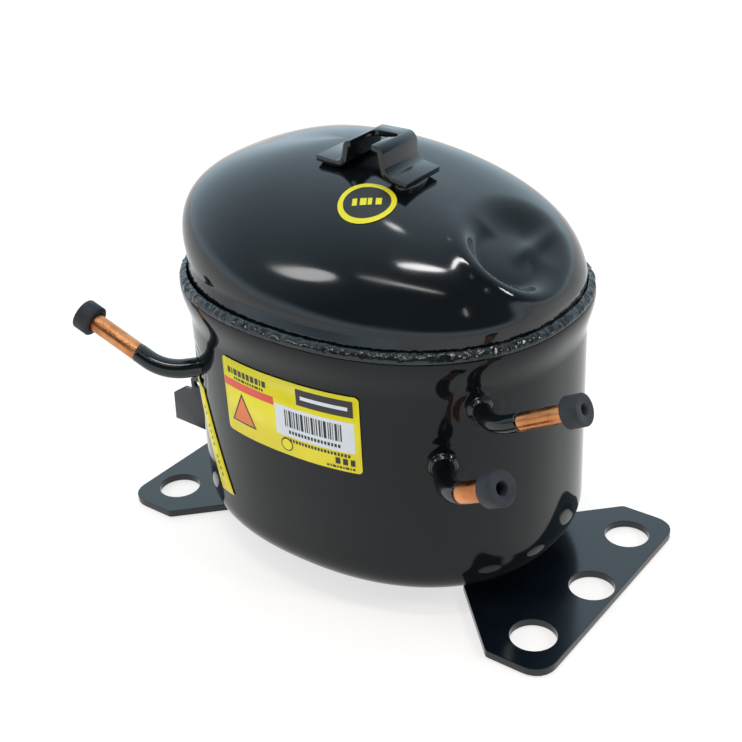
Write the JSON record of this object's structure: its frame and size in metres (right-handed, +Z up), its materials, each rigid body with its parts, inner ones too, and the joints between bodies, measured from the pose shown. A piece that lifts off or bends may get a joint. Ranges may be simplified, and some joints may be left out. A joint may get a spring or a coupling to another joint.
{
  "type": "hermetic reciprocating compressor",
  "caption": "Hermetic refrigeration compressor: welded oval black shell on two feet, capped stub tubes, sprung motor and piston pump inside.",
  "frame": {"origin": "middle of the base hole pattern, on the plane that the two feet stand on", "axes": "+X along the long axis, away from the electrical terminal; -Y toward the side with the labels and stub tubes; +Z up through the lid"},
  "size_m": [0.2047, 0.1285, 0.1623],
  "materials": {
    "black_paint": "gloss black stove enamel",
    "weld_metal": "thinly painted weld bead",
    "copper": "drawn copper, bare at the ends and painted near the shell",
    "plug_rubber": "matte",
    "label_yellow": null,
    "bright_steel": "bright",
    "cast_iron": "as cast, machined bores",
    "lamination_steel": "stacked laminations",
    "enamelled_wire": "enamelled copper wire",
    "cast_aluminium": "die cast",
    "gasket_sheet": "compressed fibre sheet",
    "moulded_plastic": "moulded"
  },
  "bodies": {
    "shell": {"lower_shell": "black_paint", "upper_shell": "black_paint", "weld_bead": "weld_metal", "foot_left": "black_paint", "foot_right": "black_paint", "lid_bracket": "black_paint", "discharge_tube": "copper", "process_tube": "copper", "suction_tube": "copper", "terminal_fence": "black_paint", "terminal_header": "bright_steel", "terminal_pin_1": "bright_steel", "terminal_pin_2": "bright_steel", "terminal_pin_3": "bright_steel", "lead_connector": "moulded_plastic", "rating_label": "label_yellow", "strip_label": "label_yellow", "lid_sticker": "label_yellow", "spring_stud_1": "bright_steel", "spring_stud_2": "bright_steel", "spring_stud_3": "bright_steel", "spring_stud_4": "bright_steel"},
    "pump_unit": {"cylinder_block": "cast_iron", "stator_core": "lamination_steel", "winding_lower": "enamelled_wire", "winding_upper": "enamelled_wire", "stator_bolt_1": "bright_steel", "stator_bolt_2": "bright_steel", "stator_bolt_3": "bright_steel", "stator_bolt_4": "bright_steel", "head_gasket": "gasket_sheet", "valve_plate": "bright_steel", "cylinder_head": "cast_aluminium", "head_screw_1": "bright_steel", "head_screw_2": "bright_steel", "head_screw_3": "bright_steel", "head_screw_4": "bright_steel", "suction_muffler": "moulded_plastic", "discharge_loop": "copper", "suspension_spring_1": "bright_steel", "suspension_spring_2": "bright_steel", "suspension_spring_3": "bright_steel", "suspension_spring_4": "bright_steel"},
    "rotor": {"crankshaft": "cast_iron", "rotor_core": "lamination_steel", "rotor_ring_lower": "cast_aluminium", "rotor_ring_upper": "cast_aluminium", "oil_pickup": "bright_steel"},
    "piston": {"piston": "cast_iron", "wrist_pin": "bright_steel"},
    "connecting_rod": {"connecting_rod": "cast_aluminium"},
    "suction_reed": {"suction_reed": "bright_steel"},
    "discharge_reed": {"discharge_reed": "bright_steel"},
    "discharge_plug": {"discharge_plug": "plug_rubber"},
    "process_plug": {"process_plug": "plug_rubber"},
    "suction_plug": {"suction_plug": "plug_rubber"}
  },
  "joints": [
    {"name": "pump_bounce", "type": "slide", "parent": "shell", "child": "pump_unit", "axis": [0, 0, 1], "range_m": [-0.0015, 0.0015], "stiffness_N_per_m": 20000, "springref_m": 0.00154, "deforming": ["suspension_spring_1", "suspension_spring_2", "suspension_spring_3", "suspension_spring_4"]},
    {"name": "crank_spin", "type": "hinge", "parent": "pump_unit", "child": "rotor", "pos_m": [-0.012, 0, 0.09], "axis": [0, 0, 1], "continuous": true},
    {"name": "piston_slide", "type": "slide", "parent": "pump_unit", "child": "piston", "axis": [1, 0, 0], "range_m": [-0.015, 0]},
    {"name": "rod_swing", "type": "hinge", "parent": "piston", "child": "connecting_rod", "pos_m": [0.0335, 0, 0.107], "axis": [0, 0, 1], "range_deg": [-11.4, 11.4]},
    {"name": "suction_reed_flex", "type": "hinge", "parent": "pump_unit", "child": "suction_reed", "pos_m": [0.04635, 0, 0.096], "axis": [0, -1, 0], "range_deg": [0, 3], "stiffness_Nm_per_rad": 0.02},
    {"name": "discharge_reed_flex", "type": "hinge", "parent": "pump_unit", "child": "discharge_reed", "pos_m": [0.04985, 0, 0.1155], "axis": [0, -1, 0], "range_deg": [0, 3], "stiffness_Nm_per_rad": 0.02},
    {"name": "discharge_plug_pull", "type": "slide", "parent": "shell", "child": "discharge_plug", "axis": [-0.9086, -0.1, 0.4056], "range_m": [0, 0.03]},
    {"name": "process_plug_pull", "type": "slide", "parent": "shell", "child": "process_plug", "axis": [0.896, 0.0694, 0.4385], "range_m": [0, 0.03]},
    {"name": "suction_plug_pull", "type": "slide", "parent": "shell", "child": "suction_plug", "axis": [0.8602, -0.1462, 0.4886], "range_m": [0, 0.03]}
  ]
}
